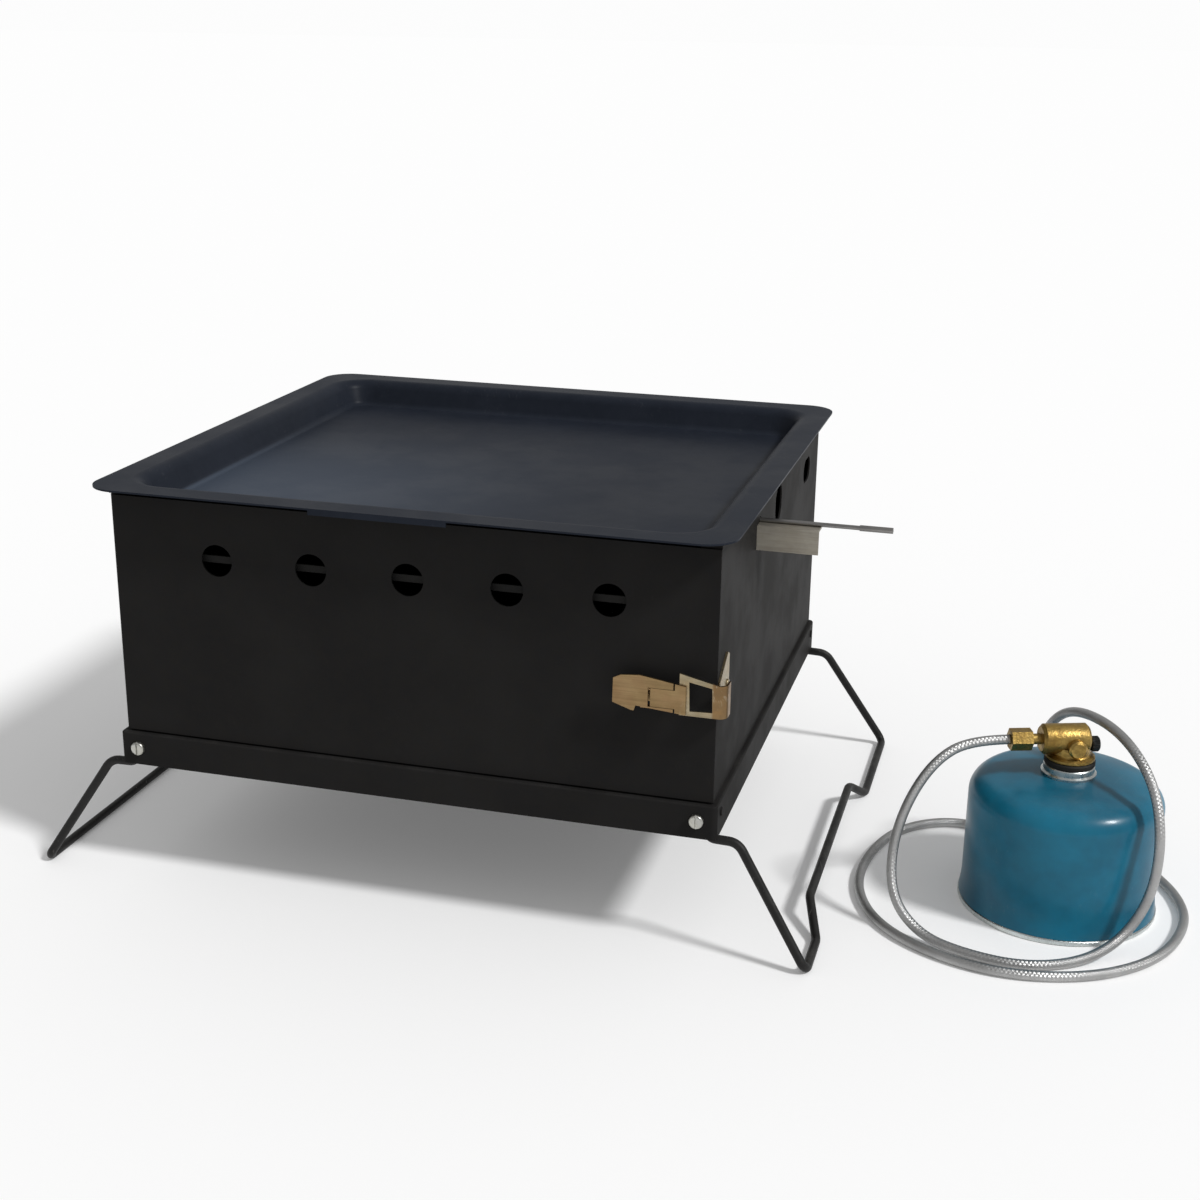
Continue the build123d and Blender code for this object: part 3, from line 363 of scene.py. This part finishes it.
# A zone is an axis, the two places between which it fades in, and its own look
def bareMetal(name, look, zones=()):
    material, tree, shader = startMaterial(name, metallic=1.0)
    alongX, alongY, alongZ = look["lines"]
    lines = useGroup(tree, brushed, alongX=alongX, alongY=alongY, alongZ=alongZ)
    spots = useGroup(tree, mottle, size=look["mottle"], fineness=look["grain"])
    marks = useGroup(tree, scratches, amount=look["scratch"])
    colour = metalColour(tree, look, lines, spots)
    place = addNode(tree, "ShaderNodeTexCoord").outputs["Object"]
    for axis, low, high, zoneLook in zones:
        along = addNode(tree, "ShaderNodeSeparateXYZ", {"Vector": place}).outputs[axis]
        inside = remap(tree, along, low, high)
        colour = mixColour(tree, inside, colour, metalColour(tree, zoneLook, lines, spots))
    colour = mixColour(tree, marks.outputs["scratch"], colour, look["bright"])
    rough = remap(tree, lines.outputs["line"], 0.0, 1.0, *look["roughness"])
    height = mathNode(tree, "ADD", mathNode(tree, "MULTIPLY", lines.outputs["line"], look["lineHeight"]),
                      mathNode(tree, "MULTIPLY", spots.outputs["fine"], look["castHeight"]))
    finishMaterial(tree, shader, colour, rough, height, look["bump"])
    return material


zincLook = {
    "lines": (700.0, 700.0, 700.0), "mottle": 0.008, "grain": 0.0006, "scratch": 0.5, "streak": 0.15,
    "dark": (0.42, 0.42, 0.40), "light": (0.62, 0.62, 0.59), "tint": (0.50, 0.47, 0.36),
    "tintAmount": 0.35, "shade": (0.22, 0.21, 0.19), "bright": (0.75, 0.75, 0.73),
    "roughness": (0.30, 0.42), "lineHeight": 0.4, "castHeight": 0.6, "bump": 0.15,
}
stainlessLook = dict(zincLook, lines=(30.0, 500.0, 500.0), dark=(0.36, 0.335, 0.29),
                     light=(0.46, 0.43, 0.37), tint=(0.38, 0.33, 0.25), shade=(0.22, 0.205, 0.18),
                     streak=0.25, scratch=0.2, roughness=(0.50, 0.64), mottle=0.014,
                     lineHeight=0.6, castHeight=0.2, bump=0.10)
pipeLook = dict(zincLook, lines=(30.0, 900.0, 900.0), dark=(0.20, 0.196, 0.195),
                light=(0.30, 0.295, 0.29), tint=(0.25, 0.235, 0.22), streak=0.3)
yellowZincLook = dict(zincLook, lines=(24.0, 800.0, 800.0), dark=(0.25, 0.165, 0.075),
                      light=(0.34, 0.24, 0.12), tint=(0.30, 0.18, 0.095), tintAmount=0.5,
                      shade=(0.13, 0.09, 0.045), bright=(0.50, 0.42, 0.28), streak=0.35,
                      roughness=(0.34, 0.48), mottle=0.010)
paleZincLook = dict(zincLook, lines=(30.0, 700.0, 300.0), dark=(0.29, 0.25, 0.165),
                    light=(0.40, 0.355, 0.25), tint=(0.42, 0.27, 0.12), tintAmount=0.4,
                    shade=(0.17, 0.14, 0.09), bright=(0.62, 0.57, 0.44), streak=0.3,
                    roughness=(0.32, 0.46), mottle=0.009)
# Painted shade: a darker, browner copy of the pale zinc for the bail's right curl
bailCurlShadeLook = dict(paleZincLook, dark=(0.21, 0.125, 0.055), light=(0.29, 0.185, 0.085),
                tint=(0.23, 0.12, 0.05))
brassLook = dict(zincLook, lines=(300.0, 300.0, 300.0), dark=(0.30, 0.185, 0.045),
                 light=(0.52, 0.36, 0.11), tint=(0.22, 0.14, 0.05), tintAmount=0.45,
                 shade=(0.13, 0.08, 0.025), bright=(0.80, 0.64, 0.30), streak=0.35,
                 roughness=(0.34, 0.55), mottle=0.004, grain=0.0016, lineHeight=0.5,
                 castHeight=1.0, bump=0.85)
tinnedLook = dict(zincLook, lines=(400.0, 400.0, 60.0), dark=(0.52, 0.56, 0.56),
                  light=(0.70, 0.74, 0.74), tint=(0.56, 0.56, 0.50), shade=(0.30, 0.32, 0.32),
                  roughness=(0.24, 0.38))
chromeLook = dict(zincLook, dark=(0.55, 0.56, 0.57), light=(0.66, 0.67, 0.68),
                  tint=(0.50, 0.46, 0.38), tintAmount=0.25, roughness=(0.12, 0.22), streak=0.05)
burnerLook = dict(zincLook, lines=(20.0, 600.0, 600.0), dark=(0.26, 0.24, 0.22),
                  light=(0.42, 0.39, 0.35), tint=(0.30, 0.20, 0.12), tintAmount=0.7,
                  shade=(0.12, 0.11, 0.12), streak=0.3, roughness=(0.34, 0.52), mottle=0.03)


def dress(material, *names):
    for name in names:
        slots = nodes[name].data.materials
        slots.clear()
        slots.append(material)


ovenBlack = painted("ovenBlack", ovenPaint)
dress(ovenBlack, "base_pan", "skirt_gussets", "skirt_rivets", "wall_rivets", "side_wall_left",
      "side_wall_right", "back_wall", "door_panel", "door_hinge_pin", "rack_rail_left",
      "rack_rail_right", "burner_shelf_left", "burner_shelf_right")
# The tie bar's lighter black is painted light
dress(painted("barBlackPaintedLight", barPaintedLight), "front_tie_bar")
dress(painted("trayBlack", trayPaint), "baking_tray")
dress(painted("legWire", wirePaint), "leg_left", "leg_right")
dress(painted("knobPlastic", knobLook), "valve_knob")
dress(painted("sealRubber", rubberLook), "valve_seal_ring")
dress(bareMetal("rackChrome", chromeLook), "oven_rack")
dress(bareMetal("burnerSteel", burnerLook), "burner_tube", "mixing_tube")
dress(bareMetal("stainless", stainlessLook), "inlet_bracket", "bracket_rivets")
dress(bareMetal("pipeSteel", pipeLook), "inlet_pipe", "inlet_pipe_end")
dress(bareMetal("zincScrews", zincLook), "leg_pivot_bolts", "leg_pivot_nuts", "leg_pivot_washers")
dress(bareMetal("latchYellow", yellowZincLook), "latch_base", "latch_base_rivets", "latch_pivot_pin",
      "latch_lever", "latch_bail_pin")
dress(bareMetal("latchPale", paleZincLook), "latch_catch", "catch_rivets")
# The bail's right curl is painted darker and browner as painted shade; its front takes the yellow zinc
loopZones = [("X", 0.1685, 0.1700, bailCurlShadeLook), ("Y", -0.16145, -0.16155, yellowZincLook)]
dress(bareMetal("latchLoop", paleZincLook, loopZones), "latch_bail")
dress(bareMetal("brass", brassLook), "valve_body", "hose_nut", "hose_end_fitting", "gas_injector")
dress(bareMetal("tinnedSteel", tinnedLook), "cartridge_base_rim", "cartridge_valve_cup",
      "hose_end_ferrule")
print("materials made")

cartridgeAxis = (0.347, -0.036)

# The cartridge's painted shell: half its outline, turned round its axis, with a rounded shoulder
shell = {
    "outline": [(0, 0.0033), (0.05455, 0.0033), (0.05345, 0.0120), (0.05345, 0.0740), (0.0290, 0.0783),
                (0.0160, 0.0790), (0.01005, 0.0790), (0.01005, 0.0779), (0, 0.0779)],
    "shoulder": {"height": 0.0740, "reach": 0.0105, "segments": 12},
    "flare": {"height": 0.0120, "reach": 0.0030, "segments": 4},
    "steps": 128,
    "sameHeight": 1e-5,
    "samePlace": 1e-6,
    "sharpAngle": 35,
}
shellPaint = {
    "specular": 0.22, "coat": 0.10, "coatRoughness": 0.12, "dustRoughens": 0.0,
    "mottle": 0.05, "grain": 0.0016,
    "dark": (0.005, 0.088, 0.150), "light": (0.007, 0.155, 0.255),
    "tint": (0.010, 0.130, 0.185), "tintAmount": 0.2,
    "scratch": 0.12, "bare": (0.12, 0.22, 0.26), "dust": 0.05, "dustColour": (0.30, 0.32, 0.33),
    "roughness": (0.28, 0.36), "bump": 0.10,
}


def ringEdges(shape, height):
    return [edge for edge in shape.edges
            if all(abs(vertex.co.z - height) < shell["sameHeight"] for vertex in edge.verts)]


def makeShell():
    axisX, axisY = cartridgeAxis
    shape = bmesh.new()
    points = [shape.verts.new((axisX + radius, axisY, height)) for radius, height in shell["outline"]]
    edges = [shape.edges.new(pair) for pair in zip(points, points[1:])]
    bmesh.ops.spin(shape, geom=points + edges, cent=(axisX, axisY, 0), axis=(0, 0, 1),
                   angle=2 * math.pi, steps=shell["steps"], use_merge=True)
    bmesh.ops.remove_doubles(shape, verts=shape.verts, dist=shell["samePlace"])
    for ring in (shell["shoulder"], shell["flare"]):
        bmesh.ops.bevel(shape, geom=ringEdges(shape, ring["height"]), offset=ring["reach"],
                        segments=ring["segments"], profile=0.5, affect="EDGES", material=-1)
    bmesh.ops.recalc_face_normals(shape, faces=shape.faces)
    mesh = bpy.data.meshes.new("cartridgeShell")
    shape.to_mesh(mesh)
    shape.free()
    mesh.shade_smooth()
    mesh.set_sharp_from_angle(angle=math.radians(shell["sharpAngle"]))
    piece = bpy.data.objects.new("cartridgeShell", mesh)
    scene.collection.objects.link(piece)
    mesh.materials.append(painted("cartridgeTeal", shellPaint))
    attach(piece, "gas_supply")
    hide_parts("cartridge_can")


makeShell()
print("cartridge shell made")

# Gas hose: the route's points from the cartridge's axis, in metres. The braid stands out by the
# relief, about a middle height, and the powers flatten the top of each strand.
hose = {
    "radius": 0.00275,
    "length": 1.105,
    "around": 40,
    "steps": 44,
    "carriers": 8,
    "relief": 0.00016,
    "middle": 0.8,
    "acrossPower": 0.6,
    "onwardPower": 0.35,
    "points": [
        (-0.03289, -0.01197, 0.0994), (-0.05356, -0.0195, 0.0994), (-0.071, -0.029, 0.0895),
        (-0.084, -0.041, 0.068), (-0.090, -0.0515, 0.042), (-0.0865, -0.062, 0.018),
        (-0.0695, -0.072, 0.004), (-0.045, -0.083, 0.00275), (-0.014, -0.088, 0.00275),
        (0.015, -0.075, 0.00275), (0.035, -0.055, 0.008), (0.0485, -0.048, 0.0315),
        (0.051, -0.0425, 0.063), (0.0445, -0.031, 0.0915), (0.026, -0.004, 0.108),
        (0.001, 0.027, 0.1075), (-0.013, 0.050, 0.0885), (-0.017, 0.066, 0.060),
        (-0.019, 0.068, 0.034), (-0.027, 0.073, 0.013), (-0.046, 0.079, 0.00275),
        (-0.071, 0.080, 0.00275), (-0.097, 0.059, 0.00275), (-0.110, 0.019, 0.00275),
        (-0.111, -0.024, 0.00275), (-0.095, -0.063, 0.00275), (-0.062, -0.089, 0.00275),
        (-0.021, -0.0995, 0.00275), (0.024, -0.088, 0.00275), (0.057, -0.058, 0.00275),
        (0.071, -0.016, 0.00275), (0.068, 0.016, 0.00275), (0.054, 0.045, 0.00275),
        (0.036, 0.067, 0.0039), (0.022, 0.092, 0.0056), (0.017, 0.113, 0.0056),
    ],
}
braidLook = {
    "wires": 5, "overlap": 0.2, "mottle": 0.03, "grain": 0.0008,
    "dark": (0.42, 0.42, 0.415), "light": (0.56, 0.56, 0.555),
    # Painted shade: the grooves between the braid's wires take a dark grey
    "grooveShade": (0.15, 0.15, 0.15), "grooveShadeRange": (-1.0, 0.2, 0.50, 0.0),
    "roughRange": (-1.0, 1.0, 0.50, 0.34), "bump": 0.35, "bumpHeight": 0.0001,
}


# Two sets of fine wires that slant both ways and take turns on top
def braidMaterial(name, look):
    material, tree, shader = startMaterial(name, metallic=1.0)
    uv = addNode(tree, "ShaderNodeUVMap", uv_map="braid").outputs["UV"]
    parts = addNode(tree, "ShaderNodeSeparateXYZ", {"Vector": uv})
    strands = []
    for side in (1.0, -1.0):
        slant = mathNode(tree, "MULTIPLY", parts.outputs["X"], side)
        across = mathNode(tree, "ADD", parts.outputs["Y"], slant)
        wires = mathNode(tree, "MULTIPLY", across, 2 * math.pi * look["wires"])
        strands.append(mathNode(tree, "SINE", wires))
    cell = mathNode(tree, "SINE", mathNode(tree, "MULTIPLY", parts.outputs["X"], 2 * math.pi))
    pick = remap(tree, cell, -look["overlap"], look["overlap"])
    first = mathNode(tree, "MULTIPLY", strands[0], pick)
    second = mathNode(tree, "MULTIPLY", strands[1], mathNode(tree, "SUBTRACT", 1.0, pick))
    height = mathNode(tree, "ADD", first, second)
    spots = useGroup(tree, mottle, size=look["mottle"], fineness=look["grain"])
    grey = mixColour(tree, spots.outputs["broad"], look["dark"], look["light"])
    # Painted shade: darker grey down in the grooves between the wires
    grey = mixColour(tree, remap(tree, height, *look["grooveShadeRange"]), grey, look["grooveShade"])
    rough = remap(tree, height, *look["roughRange"])
    finishMaterial(tree, shader, grey, rough, height, look["bump"], look["bumpHeight"])
    return material


# The middle line: a smooth curve drawn by the route's points
def hoseLine():
    curve = bpy.data.curves.new("hoseRoute", "CURVE")
    curve.dimensions = "3D"
    curve.resolution_u = hose["steps"]
    spline = curve.splines.new("NURBS")
    spline.points.add(len(hose["points"]) - 1)
    axisX, axisY = cartridgeAxis
    for point, (x, y, z) in zip(spline.points, hose["points"]):
        point.co = (axisX + x, axisY + y, z, 1.0)
    spline.order_u = 3
    spline.use_endpoint_u = True
    holder = bpy.data.objects.new("hoseRoute", curve)
    scene.collection.objects.link(holder)
    bpy.context.view_layer.update()
    shown = holder.evaluated_get(bpy.context.evaluated_depsgraph_get())
    line = bpy.data.meshes.new_from_object(shown)
    places = [vertex.co.copy() for vertex in line.vertices]
    bpy.data.objects.remove(holder)
    bpy.data.meshes.remove(line)
    return places


# How far the braid's surface lies from the middle line: two sets of strands wind both ways round
# the hose, and at each crossing one of them is on top. Both places are counted in crossings.
def braidRadius(placeRound, placeAlong):
    first = placeRound + placeAlong
    second = placeRound - placeAlong
    firstOnTop = (math.floor(first) + math.floor(second)) % 2 == 0
    across, onward = (first, second) if firstOnTop else (second, first)
    bulge = (math.sin(math.pi * (across % 1)) ** hose["acrossPower"]
             * math.sin(math.pi * (onward % 1)) ** hose["onwardPower"])
    return hose["radius"] + hose["relief"] * (bulge - hose["middle"])


# Rings of vertices round the middle line, and how far along the hose each ring lies
def hoseRings(line, cell):
    around = hose["around"]
    side = Vector((0, 0, 1))
    vertices, lengths, along = [], [], 0.0
    for index, place in enumerate(line):
        before = line[max(index - 1, 0)]
        after = line[min(index + 1, len(line) - 1)]
        way = (after - before).normalized()
        side = (side - way * side.dot(way)).normalized()
        up = way.cross(side)
        if index:
            along += (place - line[index - 1]).length
        lengths.append(along)
        for step in range(around):
            radius = braidRadius(hose["carriers"] * step / around, along / cell)
            angle = 2 * math.pi / around * step
            vertices.append(place + (side * math.cos(angle) + up * math.sin(angle)) * radius)
    return vertices, lengths


# The quads between the rings, and a fan that closes each end round its middle vertex
def hoseFaces(rings, start, end):
    around = hose["around"]
    steps = [(step, (step + 1) % around) for step in range(around)]
    faces = [(ring * around + step, ring * around + nextStep,
              (ring + 1) * around + nextStep, (ring + 1) * around + step)
             for ring in range(rings - 1) for step, nextStep in steps]
    last = (rings - 1) * around
    for step, nextStep in steps:
        faces.append((start, nextStep, step))
        faces.append((end, last + step, last + nextStep))
    return faces


# The map counts crossings along the hose and strands round it. The last quad of a ring
# reaches the full turn, so the pattern has no seam.
def mapBraid(mesh, lengths, cell, start):
    around = hose["around"]
    layer = mesh.uv_layers.new(name="braid")
    for polygon in mesh.polygons:
        rim = [mesh.loops[loop].vertex_index for loop in polygon.loop_indices]
        closes = any(vertex % around == around - 1 for vertex in rim if vertex < start)
        for loop, vertex in zip(polygon.loop_indices, rim):
            if vertex >= start:
                layer.data[loop].uv = (lengths[0 if vertex == start else -1] / cell, 0.0)
                continue
            ring, step = divmod(vertex, around)
            if step == 0 and closes:
                step = around
            layer.data[loop].uv = (lengths[ring] / cell, hose["carriers"] * step / around)


def makeHose():
    line = hoseLine()
    cell = 2 * math.pi * hose["radius"] / hose["carriers"]
    vertices, lengths = hoseRings(line, cell)
    start, end = len(vertices), len(vertices) + 1
    faces = hoseFaces(len(line), start, end)
    mesh = bpy.data.meshes.new("gasHoseBraid")
    mesh.from_pydata([tuple(vertex) for vertex in vertices + [line[0], line[-1]]], [], faces)
    mapBraid(mesh, lengths, cell, start)
    mesh.shade_smooth()
    piece = bpy.data.objects.new("gasHoseBraid", mesh)
    scene.collection.objects.link(piece)
    mesh.materials.append(braidMaterial("hoseBraid", braidLook))
    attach(piece, "gas_supply")
    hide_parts("gas_hose")


makeHose()
print("hose made")

# Floor, world and one broad sun. The floor glows a little where the camera sees it, so that it
# comes out nearly white and keeps the shadow.
studio = {
    "floorSize": 60.0,
    "floorColour": (0.88, 0.88, 0.88),
    "floorRoughness": 0.9,
    "floorGlow": 0.12,
    "background": (0.978, 0.978, 0.978),
    "sky": 0.45,
    "keyStrength": 2.3,
    "keySpread": 9.0,
    "keyFrom": (0.66, -0.20, 0.73),
}


def makeFloor():
    shape = bmesh.new()
    bmesh.ops.create_grid(shape, x_segments=1, y_segments=1, size=studio["floorSize"] / 2)
    mesh = bpy.data.meshes.new("floor")
    shape.to_mesh(mesh)
    shape.free()
    floor = bpy.data.objects.new("floor", mesh)
    scene.collection.objects.link(floor)
    material = bpy.data.materials.new("floor")
    material.use_nodes = True
    tree = material.node_tree
    shader = tree.nodes["Principled BSDF"]
    shader.inputs["Base Color"].default_value = (*studio["floorColour"], 1.0)
    shader.inputs["Roughness"].default_value = studio["floorRoughness"]
    shader.inputs["Specular IOR Level"].default_value = 0.0
    shader.inputs["Emission Color"].default_value = (1.0, 1.0, 1.0, 1.0)
    path = addNode(tree, "ShaderNodeLightPath")
    seen = mathNode(tree, "MAXIMUM", path.outputs["Is Camera Ray"], path.outputs["Is Glossy Ray"])
    seen = mathNode(tree, "MAXIMUM", seen, path.outputs["Is Transmission Ray"])
    glow = mathNode(tree, "MULTIPLY", seen, studio["floorGlow"])
    tree.links.new(glow, shader.inputs["Emission Strength"])
    mesh.materials.append(material)


def makeWorld():
    world = bpy.data.worlds.new("studio")
    scene.world = world
    world.use_nodes = True
    tree = world.node_tree
    plain = tree.nodes["Background"]
    plain.inputs["Color"].default_value = (1.0, 1.0, 1.0, 1.0)
    plain.inputs["Strength"].default_value = studio["sky"]
    backdrop = addNode(tree, "ShaderNodeBackground",
                       {"Color": (*studio["background"], 1.0), "Strength": 1.0})
    path = addNode(tree, "ShaderNodeLightPath")
    seen = mathNode(tree, "MAXIMUM", path.outputs["Is Camera Ray"], path.outputs["Is Transmission Ray"])
    chooser = addNode(tree, "ShaderNodeMixShader")
    tree.links.new(seen, chooser.inputs[0])
    tree.links.new(plain.outputs[0], chooser.inputs[1])
    tree.links.new(backdrop.outputs[0], chooser.inputs[2])
    tree.links.new(chooser.outputs[0], tree.nodes["World Output"].inputs["Surface"])


def makeKey():
    data = bpy.data.lights.new("key", "SUN")
    data.energy = studio["keyStrength"]
    data.angle = math.radians(studio["keySpread"])
    lamp = bpy.data.objects.new("key", data)
    scene.collection.objects.link(lamp)
    lamp.rotation_mode = "QUATERNION"
    lamp.rotation_quaternion = Vector(studio["keyFrom"]).to_track_quat("Z", "Y")


makeFloor()
makeWorld()
makeKey()
print("studio made")
